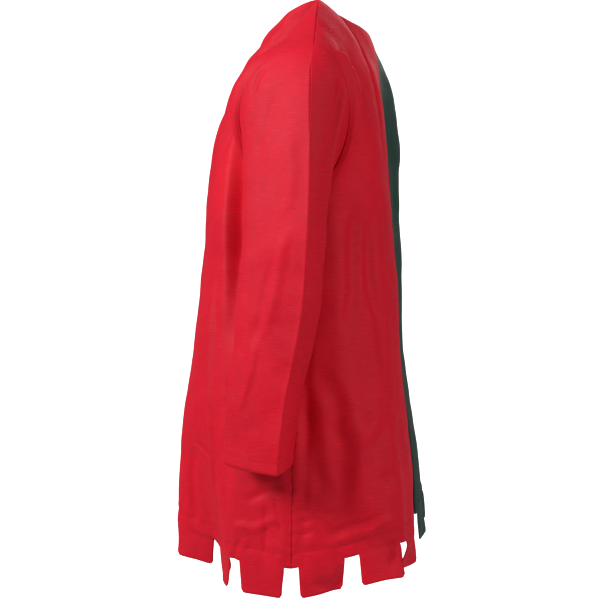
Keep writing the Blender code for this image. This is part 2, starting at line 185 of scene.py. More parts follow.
# Smaller creases. A path runs through places (across, down), where across goes from the centre seam,
# 0, to the side seam, 1, and down from the shoulder, 0, past armpit, 1, and notch tops, 2, to tab ends, 3.
# Those of sharpness 1 are rounded, and those of 2 are pressed in a line. Each rises and fades over the
# same share of its path.
Crease = namedtuple("Crease", "name half_width height sharp path")
CREASE_FADE = 0.3
CREASES = {
    "front_left": (
        Crease("upper_chest", 0.085, 0.008, 1, ((0.11, 0.14), (0.14, 0.24), (0.15, 0.35), (0.14, 0.50))),
        Crease("neck_hollow", 0.060, -0.004, 1, ((0.26, 0.03), (0.22, 0.08), (0.19, 0.14), (0.17, 0.24))),
        Crease(
            "beside_sleeve", 0.027, -0.022, 1,
            ((0.38, 0.42), (0.49, 0.68), (0.61, 0.90), (0.66, 1.12), (0.70, 1.42)),
        ),
        Crease("long_ridge", 0.012, 0.0042, 1, ((0.50, 1.20), (0.53, 1.44), (0.58, 1.70), (0.57, 1.92))),
        Crease("level_crease", 0.007, -0.0042, 2, ((0.38, 1.765), (0.48, 1.765), (0.60, 1.745))),
        Crease("patch_edge", 0.016, -0.0040, 1, ((0.44, 1.78), (0.38, 1.92), (0.40, 2.30))),
        Crease("side_line_a", 0.007, -0.0028, 2, ((0.88, 1.86), (0.89, 1.93), (0.88, 2.02))),
        Crease("side_line_b", 0.007, -0.0028, 2, ((0.92, 1.84), (0.94, 1.90), (0.96, 1.97))),
        Crease("neck_drop", 0.018, -0.0022, 1, ((0.32, 0.05), (0.30, 0.30), (0.24, 0.55))),
        Crease("shoulder_pull", 0.012, -0.0020, 1, ((0.95, 0.10), (0.80, 0.22), (0.66, 0.36))),
        Crease("middle_line", 0.020, 0.0022, 1, ((0.12, 1.05), (0.16, 1.40), (0.14, 1.85))),
        Crease("seam_roll", 0.014, 0.0022, 1, ((0.95, 1.30), (0.95, 1.60), (0.96, 2.20))),
        Crease("low_curl_a", 0.010, -0.0032, 1, ((0.98, 1.80), (0.90, 1.83), (0.80, 1.80))),
        Crease("low_curl_b", 0.009, 0.0030, 1, ((0.97, 1.90), (0.88, 1.92), (0.80, 1.89), (0.73, 1.90))),
        Crease("low_curl_c", 0.010, -0.0032, 1, ((0.80, 1.92), (0.75, 2.00), (0.72, 2.40))),
        Crease("low_fold", 0.016, -0.0036, 1, ((0.74, 1.40), (0.70, 1.65), (0.72, 1.90))),
    ),
    "back_left": (
        Crease("upper_hollow", 0.055, -0.006, 1, ((0.18, 0.02), (0.20, 0.30), (0.20, 0.70), (0.16, 1.20))),
        Crease("hem_turn_in", 0.050, -0.005, 1, ((0.40, 1.70), (0.40, 2.00), (0.40, 3.00))),
        Crease("seam_hollow", 0.014, -0.0024, 1, ((0.95, 1.20), (0.95, 1.60), (0.96, 2.20))),
        Crease("tip_wrinkle_a", 0.010, -0.0026, 1, ((0.90, 0.11), (0.84, 0.18), (0.72, 0.25))),
        Crease("tip_wrinkle_b", 0.010, -0.0030, 1, ((0.92, 0.22), (0.80, 0.29), (0.64, 0.37))),
        Crease("tip_wrinkle_c", 0.009, 0.0016, 1, ((0.91, 0.16), (0.82, 0.23), (0.68, 0.31))),
        Crease("outer_band", 0.022, -0.0050, 1, ((0.66, 0.98), (0.68, 1.16), (0.72, 1.36))),
        Crease("inner_band", 0.018, -0.0050, 1, ((0.53, 1.02), (0.55, 1.25), (0.49, 1.42), (0.48, 1.60))),
        Crease("seam_diagonal", 0.024, -0.0050, 1, ((0.97, 1.48), (0.94, 1.60), (0.91, 1.72), (0.85, 1.82))),
        Crease("bright_diagonal", 0.032, 0.0065, 1, ((0.82, 1.52), (0.73, 1.61), (0.65, 1.66), (0.52, 1.60))),
        Crease("seam_curl_a", 0.007, -0.0034, 2, ((0.99, 1.815), (0.94, 1.84), (0.88, 1.845), (0.80, 1.83))),
        Crease("seam_curl_b", 0.007, -0.0032, 2, ((0.975, 1.855), (0.93, 1.87), (0.87, 1.865))),
        Crease("seam_curl_c", 0.008, -0.0028, 2, ((0.98, 1.895), (0.94, 1.905), (0.90, 1.905))),
        Crease("low_curl_a", 0.009, -0.0034, 1, ((0.88, 1.905), (0.78, 1.885), (0.70, 1.90), (0.60, 1.925))),
        Crease("low_curl_b", 0.010, 0.0032, 1, ((0.86, 1.935), (0.76, 1.915), (0.64, 1.94))),
        Crease("low_curl_c", 0.012, -0.0032, 1, ((0.62, 1.80), (0.54, 1.83), (0.44, 1.82))),
        Crease("tab_line", 0.009, -0.0034, 1, ((0.60, 1.98), (0.56, 2.35), (0.59, 2.90))),
        Crease("tab_fold", 0.012, -0.0060, 1, ((0.79, 2.00), (0.83, 2.38), (0.90, 2.90))),
        Crease("hem_lift", 0.010, 0.0036, 1, ((0.70, 1.96), (0.66, 1.93), (0.60, 1.94), (0.55, 1.97))),
    ),
    "front_right": (
        Crease("upper_chest", 0.085, 0.007, 1, ((0.12, 0.14), (0.15, 0.25), (0.16, 0.36), (0.15, 0.52))),
        Crease("neck_hollow", 0.060, -0.004, 1, ((0.27, 0.03), (0.23, 0.08), (0.20, 0.15), (0.18, 0.25))),
        Crease(
            "beside_sleeve", 0.028, -0.015, 1,
            ((0.44, 0.48), (0.54, 0.74), (0.63, 0.95), (0.68, 1.20), (0.70, 1.50)),
        ),
        Crease("long_ridge", 0.014, 0.0040, 1, ((0.46, 1.15), (0.50, 1.45), (0.52, 1.70), (0.50, 1.90))),
        Crease("level_crease", 0.006, -0.0028, 2, ((0.36, 1.68), (0.43, 1.67), (0.50, 1.69))),
        Crease("neck_drop", 0.018, -0.0020, 1, ((0.33, 0.06), (0.29, 0.34), (0.25, 0.62))),
        Crease("shoulder_pull", 0.012, -0.0022, 1, ((0.94, 0.12), (0.78, 0.24), (0.62, 0.40))),
        Crease("low_diagonal", 0.026, -0.0040, 1, ((0.94, 1.50), (0.88, 1.64), (0.78, 1.80))),
        Crease("middle_line", 0.020, 0.0020, 1, ((0.20, 1.10), (0.17, 1.42), (0.21, 1.80))),
        Crease("side_line", 0.007, -0.0026, 2, ((0.90, 1.80), (0.92, 1.88), (0.95, 1.95))),
    ),
    "back_right": (
        Crease("lower_hollow", 0.110, -0.008, 1, ((0.34, 1.15), (0.36, 1.50), (0.36, 1.90), (0.36, 2.60))),
        Crease("upper_swell", 0.090, 0.006, 1, ((0.30, -0.05), (0.34, 0.25), (0.34, 0.60), (0.30, 1.10))),
        Crease("tip_wrinkle_a", 0.008, -0.0030, 2, ((0.95, 0.10), (0.86, 0.18), (0.72, 0.24))),
        Crease("tip_wrinkle_b", 0.009, -0.0028, 2, ((0.96, 0.22), (0.84, 0.32), (0.70, 0.42))),
        Crease("outer_band", 0.024, -0.0048, 1, ((0.70, 1.00), (0.72, 1.22), (0.75, 1.48))),
        Crease("inner_band", 0.018, -0.0044, 1, ((0.40, 1.06), (0.42, 1.30), (0.37, 1.55))),
        Crease("bright_diagonal", 0.032, 0.0055, 1, ((0.84, 1.58), (0.72, 1.66), (0.60, 1.68), (0.48, 1.60))),
        Crease("seam_curl_a", 0.007, -0.0030, 2, ((0.98, 1.79), (0.93, 1.81), (0.86, 1.80))),
        Crease("seam_curl_b", 0.007, -0.0028, 2, ((0.98, 1.86), (0.92, 1.875), (0.86, 1.86))),
    ),
}

# How the tabs hang: how far their ends swing out, at the corner nearer the centre seam and at the other
Hang = namedtuple("Hang", "inner outer")
TAB_HANG = {
    "front_left": (Hang(0.002, 0.001), Hang(0.004, -0.002), Hang(-0.002, 0.003), Hang(0.001, -0.001)),
    "back_left": (Hang(-0.004, -0.002), Hang(0.004, -0.018), Hang(0.013, 0.003), Hang(-0.006, 0.002)),
    "front_right": (Hang(-0.002, 0.003), Hang(0.002, 0.004), Hang(0.001, -0.003), Hang(-0.002, 0.002)),
    "back_right": (Hang(0.003, 0.001), Hang(-0.003, 0.004), Hang(0.003, -0.002), Hang(0.001, 0.002)),
}
HANG_BEND = 1.5

# Unevenness of the cloth that no crease above accounts for, and the seeds that keep its kinds apart
Waves = namedtuple("Waves", "size height")
BODY_WAVES = Waves(0.060, 0.0022)
BODY_RIPPLE = Waves(0.026, 0.0009)
FACING_PUCKER = Waves(0.014, 0.0024)
SIDE_PUCKER = Waves(0.017, 0.0008)
PUCKER_DRIFT = 3
PANEL_SEED_STEP = 3.0
SIDE_SEED_STEP = 6
PUCKER_SEED = 1
SLEEVE_RIPPLE_SEED = 5
RIPPLE_SEED = 7

# Marks of the sewing: how wide a band beside the line each one takes, and how high it stands
Mark = namedtuple("Mark", "width height")
STITCH_DIP = Mark(0.0028, 0.0008)
EDGE_DIP = Mark(0.0022, 0.0003)
FACING_STEP = 0.0004
FACING_BAND = 0.010
RIDGE_BAND = 0.042
PUCKER_BAND = 0.007
WANDER_BAND = 0.030
WANDER_WAVE = 0.045

# Where marks begin and are full: down the panel, or in metres from a seam or below the stitch line
CREASES_FROM_SEAM = (0, 0.010)
WAVES_FROM_SEAM = (0, 0.02)
BELOW_STITCHES = (-0.001, -0.006)
RIDGE_START = (1.25, 1.75)
PUCKER_START = (1.0, 1.3)
PUCKER_END = (2.0, 2.1)
WANDER_START = (1.1, 1.3)


def soft(low, high, value):
    """Rise softly from 0 at low to 1 at high."""
    share = np.clip((np.asarray(value, float) - low) / (high - low), 0.0, 1.0)
    return share * share * (3 - 2 * share)


def bend(start, start_pull, end, end_pull, share):
    """Place on the soft curve that leaves start and reaches end along their pulls."""
    square = share * share
    cube = square * share
    place = start * (2 * cube - 3 * square + 1) + start_pull * (cube - 2 * square + share)
    return place + end * (3 * square - 2 * cube) + end_pull * (cube - square)


def band(distance, width):
    """Strength of a mark beside its line: 1 on it, and fading over a width."""
    return np.exp(-((distance / width) ** 2))


def read(rows, where, column):
    """Read a column of a table between its rows, which its first column places."""
    places = np.array([row[0] for row in rows])
    values = np.array([getattr(row, column) for row in rows])
    order = 1 if places[-1] > places[0] else -1
    places = places * order
    where = np.asarray(where, float) * order
    low = np.clip(np.searchsorted(places, where) - 1, 0, len(rows) - 2)
    before = np.maximum(low - 1, 0)
    after = np.minimum(low + 2, len(rows) - 1)
    span = places[low + 1] - places[low]
    share = np.clip((where - places[low]) / span, 0.0, 1.0)
    leave = (values[low + 1] - values[before]) / (places[low + 1] - places[before])
    arrive = (values[after] - values[low]) / (places[after] - places[low])
    return bend(values[low], leave * span, values[low + 1], arrive * span, share)


def curve_through(knots, steps=CURVE_STEPS):
    """Points of a soft curve through knots."""
    knots = np.array(knots, float)
    last = len(knots) - 1
    points = [knots[0]]
    for index in range(last):
        leave = (knots[index + 1] - knots[max(index - 1, 0)]) / 2
        arrive = (knots[min(index + 2, last)] - knots[index]) / 2
        for step in range(1, steps + 1):
            points.append(bend(knots[index], leave, knots[index + 1], arrive, step / steps))
    return np.array(points)


def along(points, share):
    """Places at shares of the length of a line through points."""
    lengths = np.concatenate([[0.0], np.cumsum(np.linalg.norm(np.diff(points, axis=0), axis=1))])
    wanted = np.asarray(share) * lengths[-1]
    return [np.interp(wanted, lengths, column) for column in points.T]


def section(name, across, height):
    """Unfolded body at given heights, at shares of the way from centre seam to side seam."""
    across, height = np.broadcast_arrays(across, height)
    half_width = read(LEVELS, height, "half_width")[..., None]
    depth = read(LEVELS, height, name + "_y")[..., None] - SIDE_SEAM_Y
    power = 2 / read(LEVELS, height, name + "_square")[..., None]
    angle = np.radians(np.linspace(0, 90, SECTION_STEPS + 1))
    x = half_width * np.sin(angle) ** power
    y = SIDE_SEAM_Y + depth * np.maximum(np.cos(angle), 0.0) ** power
    length = np.cumsum(np.hypot(np.diff(x, axis=-1), np.diff(y, axis=-1)), axis=-1)
    length = np.concatenate([np.zeros_like(length[..., :1]), length], axis=-1)
    wanted = across[..., None] * length[..., -1:]
    low = np.clip((length < wanted).sum(-1, keepdims=True) - 1, 0, SECTION_STEPS - 1)
    start = np.take_along_axis(length, low, -1)
    share = (wanted - start) / (np.take_along_axis(length, low + 1, -1) - start)

    def reached(values):
        before = np.take_along_axis(values, low, -1)
        after = np.take_along_axis(values, low + 1, -1)
        return (before * (1 - share) + after * share)[..., 0]

    return np.stack([reached(x), reached(y), height], -1)


def top_edge(name, across):
    """Places of the neckline and, beyond the neck point, of the shoulder seam."""
    panel = PANELS[name]
    at_neck = across < NECK_SHARE
    angle = np.radians(90) * np.clip(across / NECK_SHARE, 0, 1)
    share = np.clip((across - NECK_SHARE) / (1 - NECK_SHARE), 0, 1)
    round_neck = np.maximum(np.cos(angle), 0.0)
    seam_x = NECK_HALF_WIDTH + (SHOULDER_TIP[0] - NECK_HALF_WIDTH) * share
    x = np.where(at_neck, NECK_HALF_WIDTH * np.sin(angle), seam_x)
    y = np.where(at_neck, panel.neck_y * round_neck, SHOULDER_TIP[1] * share)
    z = np.where(at_neck, panel.neck_z * round_neck**panel.neck_curve, SHOULDER_TIP[2] * share**SHOULDER_CURVE)
    return np.stack([x, y, z], -1)


def top_pull(name, across):
    """Direction and strength in which the cloth leaves the neckline and the shoulder seam."""
    panel = PANELS[name]
    centre, neck, tip = (np.array([0.0, *pull]) for pull in (panel.centre_pull, panel.neck_pull, panel.tip_pull))
    to_neck = soft(0, NECK_SHARE, across)[..., None]
    to_tip = soft(NECK_SHARE, 1, across)[..., None]
    return centre + (neck - centre) * to_neck + (tip - neck) * to_tip


def body_form(side, name, across, down):
    """Body surface of one quarter, drawn at +X, before its folds."""
    across, down = np.broadcast_arrays(np.asarray(across, float), np.asarray(down, float))
    panel = PANELS[name]
    hem = read(HEM_LINE, across, name + "_z")
    height = ARMPIT_HEIGHT + (hem - ARMPIT_HEIGHT) * np.clip(down - 1, 0, 1) - TAB_LENGTH * np.maximum(down - 2, 0)
    turned = np.stack([*along(curve_through(HEM_TURNS[name + "_" + side]), across), height], -1)
    skirt = section(name, across, height)
    skirt = skirt + (turned - skirt) * soft(HEM_FOLDS_START, HEM_FOLDS_FULL, down)[..., None]
    chest = section(name, across, np.full_like(across, ARMPIT_HEIGHT))
    below = section(name, across, np.full_like(across, ARMPIT_HEIGHT - STEP))
    chest_pull = (below - chest) * (panel.chest_pull / STEP)
    chest_pull[..., 1] += panel.armpit_pull * soft(ARMHOLE_BLEND, 1, across) ** 2
    yoke = bend(top_edge(name, across), top_pull(name, across), chest, chest_pull, np.clip(down, 0, 1)[..., None])
    return np.where(down[..., None] >= 1, skirt, yoke)


def body_cloth(side, name, across, down):
    """Body surface of one quarter with its large folds."""
    across, down = np.broadcast_arrays(np.asarray(across, float), np.asarray(down, float))
    lift = np.zeros_like(across)
    for fold in FOLDS[name + "_" + side]:
        middle = fold.across_top + (fold.across_end - fold.across_top) * soft(fold.start, fold.full, down)
        distance = np.minimum(np.abs(across - middle) / fold.half_width, 1.0)
        rise = soft(fold.start, fold.full, down) * (1 - soft(fold.fade, fold.end, down))
        lift += fold.height * rise * (0.5 + 0.5 * np.cos(np.pi * distance))

    def form(to_across, to_down):
        return body_form(side, name, to_across, to_down)

    sideways = form(np.minimum(across + STEP, 1), down) - form(np.maximum(across - STEP, 0), down)
    downward = form(across, down + STEP) - form(across, np.maximum(down - STEP, 0))
    normal = np.cross(sideways, downward) * PANELS[name].facing
    normal /= np.linalg.norm(normal, axis=-1, keepdims=True)
    return form(across, down) + normal * lift[..., None]


def grid_normal(points):
    """Direction across the sheet at each point of a grid, one way round."""
    normal = np.cross(np.gradient(points, axis=1), np.gradient(points, axis=0))
    return normal / np.maximum(np.linalg.norm(normal, axis=-1, keepdims=True), 1e-12)


def cut_lengths(points):
    """Length of cloth along the rows and down the columns of a grid."""
    steps = np.linalg.norm(np.diff(points, axis=1), axis=-1)
    u = np.concatenate([np.zeros((len(points), 1)), np.cumsum(steps, axis=1)], axis=1)
    steps = np.linalg.norm(np.diff(points, axis=0), axis=-1)
    v = np.concatenate([np.zeros((1, points.shape[1])), np.cumsum(steps, axis=0)], axis=0)
    return u, v


def crease_lift(creases, across, down, u, v):
    """How far the creases lift the cloth of a grid, whose places are across and down."""
    rows = down.mean(axis=1)
    width = u[:, -1]
    depth = v.mean(axis=1)
    flat_u = across * width[:, None]
    lift = np.zeros_like(u)
    for crease in creases:
        path = curve_through(crease.path, CREASE_STEPS)
        path_u = path[:, 0] * np.interp(path[:, 1], rows, width)
        path_v = np.interp(path[:, 1], rows, depth)
        share = np.linspace(0, 1, len(path))
        strength = soft(0, CREASE_FADE, share) * soft(0, CREASE_FADE, 1 - share)
        near = (v > path_v.min() - crease.half_width) & (v < path_v.max() + crease.half_width)
        away = np.hypot(flat_u[near][:, None] - path_u, v[near][:, None] - path_v)
        closest = away.argmin(axis=1)
        distance = np.minimum(away[np.arange(len(away)), closest] / crease.half_width, 1.0)
        bell = 0.5 + 0.5 * np.cos(np.pi * distance) if crease.sharp == 1 else (1 - distance) ** 2
        lift[near] += crease.height * strength[closest] * bell
    return lift


def uneven(points, size, seed):
    """Soft unevenness of hand-finished cloth, from -1 to 1, with waves of a size."""
    flat = points.reshape(-1, 3) / size
    values = [noise.noise(Vector((x + seed, y, z))) for x, y, z in flat]
    return np.array(values).reshape(points.shape[:2])


def add_object(name, data):
    """Put a mesh, lamp or camera into the scene at the origin."""
    added = bpy.data.objects.new(name, data)
    bpy.context.scene.collection.objects.link(added)
    return added


def cloth_sheet(name, points, u, v, marks, gone=(), closed=False):
    """Make the piece's object from a grid of places, its cut lengths and its marked distances.

    gone is the first row of the notches and the columns that they take out of the grid.
    """
    rows, columns = points.shape[:2]
    sheet = bmesh.new()
    bmesh.ops.create_grid(sheet, x_segments=columns - 1, y_segments=rows - 1, size=1)
    layers = {label: sheet.verts.layers.float.new(label) for label in marks}
    where = {}
    for point in sheet.verts:
        column = round((point.co.x + 1) / 2 * (columns - 1))
        row = round((1 - point.co.y) / 2 * (rows - 1))
        where[point] = (row, column)
    cut = sheet.loops.layers.uv.new("cut")
    for face in sheet.faces:
        for corner in face.loops:
            row, column = where[corner.vert]
            corner[cut].uv = (u[row, column], v[row, column])
    holes = []
    if gone:
        for face in sheet.faces:
            row = min(where[point][0] for point in face.verts)
            column = min(where[point][1] for point in face.verts)
            if row >= gone[0] and column in gone[1]:
                holes.append(face)
    for point, (row, column) in where.items():
        point.co = Vector(points[row, column])
        for label, layer in layers.items():
            point[layer] = marks[label][row, column]
    bmesh.ops.delete(sheet, geom=holes, context="FACES")
    if closed:
        bmesh.ops.remove_doubles(sheet, verts=sheet.verts[:], dist=SAME_PLACE)
    mesh = bpy.data.meshes.new(name)
    sheet.to_mesh(mesh)
    sheet.free()
    mesh.shade_smooth()
    cloth = add_object(name, mesh)
    wall = cloth.modifiers.new("cloth thickness", "SOLIDIFY")
    wall.thickness = WALL
    wall.offset = 0.0
    wall.use_even_offset = False
    wall.use_quality_normals = True
    return cloth


# Columns of a quarter: places beside each seam, columns of a tab, and columns inside a notch
SEAM_COLUMNS = [SEAM_FACE, 0.0010, 0.0020, 0.0038, 0.0065]
TAB_COLUMNS = 22
NOTCH_COLUMNS = 5


def panel_columns(side, name):
    """Across values of the columns, which of them start a gap, their places in a tab, and the hem's length."""
    shares = np.linspace(0, 1, HEM_STEPS + 1)
    hem = body_cloth(side, name, shares, 2.0)
    reached = np.concatenate([[0.0], np.cumsum(np.linalg.norm(np.diff(hem, axis=0), axis=1))])
    scale = reached[-1] / (TABS_PER_PANEL * (TAB_WIDTH + NOTCH_WIDTH))
    across_tab = np.linspace(0, 1, TAB_COLUMNS)
    across_notch = np.linspace(0, 1, NOTCH_COLUMNS + 2)[1:-1]
    beside_seam = [None] * len(SEAM_COLUMNS)
    stops = list(SEAM_COLUMNS)
    notch = [True] * len(SEAM_COLUMNS)
    tab_place = list(beside_seam)
    start = NOTCH_WIDTH / 2 * scale
    for tab in range(TABS_PER_PANEL):
        stops += list(start + across_tab * TAB_WIDTH * scale)
        tab_place += [(tab, share) for share in across_tab]
        notch += [False] * (TAB_COLUMNS - 1) + [True]
        start += TAB_WIDTH * scale
        if tab < TABS_PER_PANEL - 1:
            stops += list(start + across_notch * NOTCH_WIDTH * scale)
            tab_place += [None] * NOTCH_COLUMNS
            notch += [True] * NOTCH_COLUMNS
            start += NOTCH_WIDTH * scale
    stops += [reached[-1] - place for place in reversed(SEAM_COLUMNS)]
    notch += [True] * len(SEAM_COLUMNS)
    tab_place += beside_seam
    return np.interp(stops, reached, shares), notch, tab_place, reached[-1]


# Rows of a quarter: below its top edge, down to the armpit, to the notches, and to the tab ends
TOP_ROWS = (0.0, 0.003, 0.008, 0.014, 0.022)
YOKE_ROWS = np.linspace(0.036, 1, 58)
SKIRT_ROWS = np.linspace(1, 2, 121)[1:]
TAB_ROWS = np.linspace(2, 3, 15)[1:]
PANEL_DOWN = np.concatenate([TOP_ROWS, YOKE_ROWS, SKIRT_ROWS, TAB_ROWS])
NOTCH_ROW = int(np.argmin(np.abs(PANEL_DOWN - 2)))


def hang_tabs(side, name, down, across_grid, tab_place, hem_length):
    """Round and taper the tabs in the grid's places, and give how far they swing out."""
    low = np.maximum(down - 2, 0)
    swing = np.zeros_like(down)
    for column, place in enumerate(tab_place):
        if place is None:
            continue
        tab, share = place
        edge = min(share, 1 - share) * TAB_WIDTH
        rise = TAB_CORNER - math.sqrt(TAB_CORNER**2 - max(TAB_CORNER - edge, 0) ** 2)
        low[:, column] *= 1 - rise / TAB_LENGTH
        across_grid[:, column] += TAB_TAPER * (1 - 2 * share) * low[:, column] / hem_length
        hang = TAB_HANG[name + "_" + side][tab]
        swing[:, column] = (hang.inner + (hang.outer - hang.inner) * share) * low[:, column] ** HANG_BEND
    return np.where(down > 2, 2 + low, down), across_grid, swing


def panel_lift(quarter, seed, points, across_grid, down, u, v, hem, seam):
    """How far a quarter's creases, unevenness and sewing lift its cloth."""
    from_side = u[:, -1:] - u
    lift = crease_lift(CREASES[quarter], across_grid, down, u, v) * soft(*CREASES_FROM_SEAM, seam)
    broad = uneven(points, BODY_WAVES.size, seed) * BODY_WAVES.height
    fine = uneven(points, BODY_RIPPLE.size, seed + RIPPLE_SEED) * BODY_RIPPLE.height
    lift += (broad + fine) * soft(*WAVES_FROM_SEAM, seam)
    cut = np.stack([u, v, u * 0], -1)
    lift += band(hem, FACING_BAND) * uneven(cut, FACING_PUCKER.size, seed) * FACING_PUCKER.height
    lift -= STITCH_DIP.height * band(hem, STITCH_DIP.width)
    lift += FACING_STEP * soft(*BELOW_STITCHES, hem)
    lift -= EDGE_DIP.height * band(seam, EDGE_DIP.width)
    lift += SEAM_RIDGE * band(from_side, RIDGE_BAND) * soft(*RIDGE_START, down)
    along_side = band(from_side, PUCKER_BAND) * soft(*PUCKER_START, down) * (1 - soft(*PUCKER_END, down))
    drift = PUCKER_DRIFT * uneven(points, BODY_WAVES.size, seed + PUCKER_SEED)
    pucker = np.sin(v * 2 * np.pi / SIDE_PUCKER.size + drift)
    return lift + along_side * pucker * SIDE_PUCKER.height


def panel_grid(side, name):
    """All the places of a quarter's cloth, with its cut lengths, marks and notches."""
    quarter = name + "_" + side
    facing = PANELS[name].facing
    across, notch, tab_place, hem_length = panel_columns(side, name)
    down = np.repeat(PANEL_DOWN[:, None], len(across), axis=1)
    down[: len(TOP_ROWS)] += SHOULDER_RIM / np.linalg.norm(top_pull(name, across), axis=-1)
    across_grid = np.repeat(across[None, :], len(PANEL_DOWN), axis=0)
    down, across_grid, swing = hang_tabs(side, name, down, across_grid, tab_place, hem_length)
    points = body_cloth(side, name, across_grid, down)
    u, v = cut_lengths(points)
    from_side = u[:, -1:] - u
    seam = np.minimum(u, from_side)
    hem = (2 - down) * SKIRT_DROP - FACING_ABOVE_NOTCH
    seed = PANEL_SEED_STEP * list(CREASES).index(quarter)
    lift = panel_lift(quarter, seed, points, across_grid, down, u, v, hem, seam) + swing
    normal = grid_normal(points)
    normal *= np.sign((normal[:, :, 1] * facing).sum())
    points = points + normal * lift[..., None]

    # The front and the back of one side share the wander of their side seam
    side_seed = seed - seed % SIDE_SEED_STEP
    wander = np.array([noise.noise(Vector((side_seed, 0, z / WANDER_WAVE))) for z in points[:, -1, 2]])
    wander *= SEAM_WANDER * soft(*WANDER_START, PANEL_DOWN)
    points[..., 1] += wander[:, None] * band(from_side, WANDER_BAND)

    # The cloth is turned in at every edge, and the seams of the centre and the side are closed
    skirt = PANEL_DOWN >= 1
    edge_y = SIDE_SEAM_Y + facing * SEAM_FACE + wander
    turned = points - normal * TURNING
    for sheet in (points, turned):
        sheet[:, 0, 0] = SEAM_FACE
        sheet[skirt, -1, 1] = edge_y[skirt]
    points = np.concatenate([turned[:, :1], points, turned[:, -1:]], axis=1)
    normal = np.concatenate([normal[:, :1], normal, normal[:, -1:]], axis=1)
    points = np.concatenate([points[:1] - normal[:1] * TURNING, points], axis=0)

    def widen(values, turning=0):
        values = np.concatenate([values[:, :1] - turning, values, values[:, -1:] + turning], axis=1)
        return np.concatenate([values[:1], values], axis=0)

    grain_u = widen(u, TURNING)
    grain_v = widen(-points[1:, 1:-1, 2])
    grain_v[0] -= TURNING
    marks = {"hem": widen(hem), "seam": widen(seam)}
    gone = {index + 1 for index, cut in enumerate(notch[:-1]) if cut} | {0, len(notch)}
    return points, grain_u, grain_v, marks, (NOTCH_ROW + 1, gone)


# The weave: streaks of each kind across and down the cloth in a metre, the noise values between which
# they come up, and the noise's detail. A tone is how far a mark lightens or darkens the dye.
Streak = namedtuple("Streak", "across down low high detail")
SLUBS = Streak(38, 800, 0.60, 0.76, 2)
THIN_PLACES = Streak(44, 950, 0.60, 0.76, 2)
UPRIGHT_THREADS = Streak(800, 26, 0.58, 0.75, 2)
CLOUDS = Streak(9, 7, 0.25, 0.75, 3)
UPRIGHT_TONE = 0.05
CLOUD_TONE = 0.10
CROSSING_TONE = 0.05
STITCH_HALF_WIDTH = 0.0004
STITCHES_PER_METRE = 310
STITCH_SHARE = 0.62
STITCH_TONE = 0.25
# Painted shade: within this width of a seam the dye is darkened by this tone, standing in for the shade in the
# seam's groove
SEAM_SHADE_WIDTH = 0.0016
SEAM_SHADE_TONE = 0.05
CLOTH_ROUGHNESS = 0.62
SLUB_SHINE = 0.08


